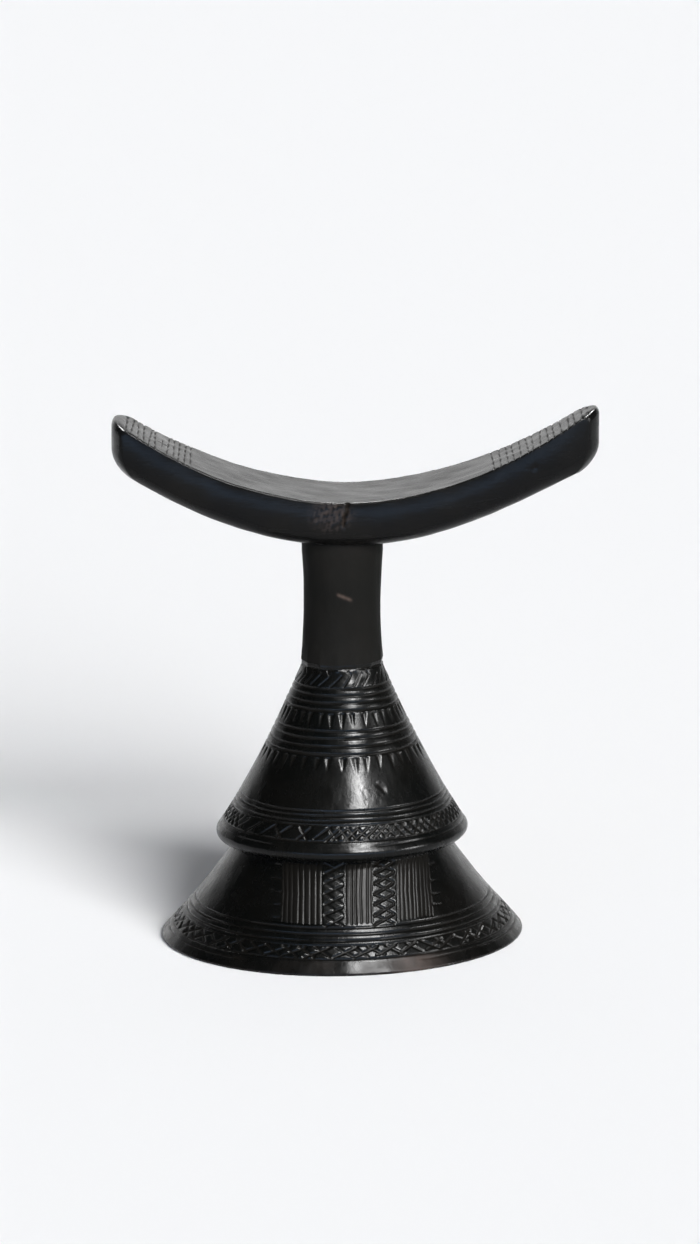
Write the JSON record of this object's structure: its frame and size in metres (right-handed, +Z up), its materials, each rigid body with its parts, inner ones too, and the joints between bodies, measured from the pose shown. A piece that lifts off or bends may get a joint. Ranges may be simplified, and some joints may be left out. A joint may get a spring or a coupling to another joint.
{
  "type": "headrest",
  "caption": "Carved wooden headrest: a curved oval saddle on a slim waisted stem over stacked flaring bells with a wide flat foot, to hold the neck of a person lying down.",
  "frame": {"origin": "middle of the foot's flat underside, on the ground", "axes": "+X along the saddle to its longer, higher arm, +Y to the back, +Z up"},
  "size_m": [0.1538, 0.1154, 0.1683],
  "materials": {
    "foot_bell": "dark hardwood, blackened and worn smooth, with cut lines, bands of crossed cuts and a bare brown worn edge",
    "upper_bell": "dark hardwood, blackened and polished by handling, with cut rings, rows of teeth and a band of crossed cuts",
    "stem": "dark hardwood, blackened, smooth and satin, with a small bare scratch",
    "saddle": "dark hardwood, blackened, its top rubbed to a grey sheen with fine scratches and cut lines near the tips"
  },
  "bodies": {
    "root": {"foot_bell": "foot_bell", "upper_bell": "upper_bell", "stem": "stem", "saddle": "saddle"}
  },
  "joints": []
}
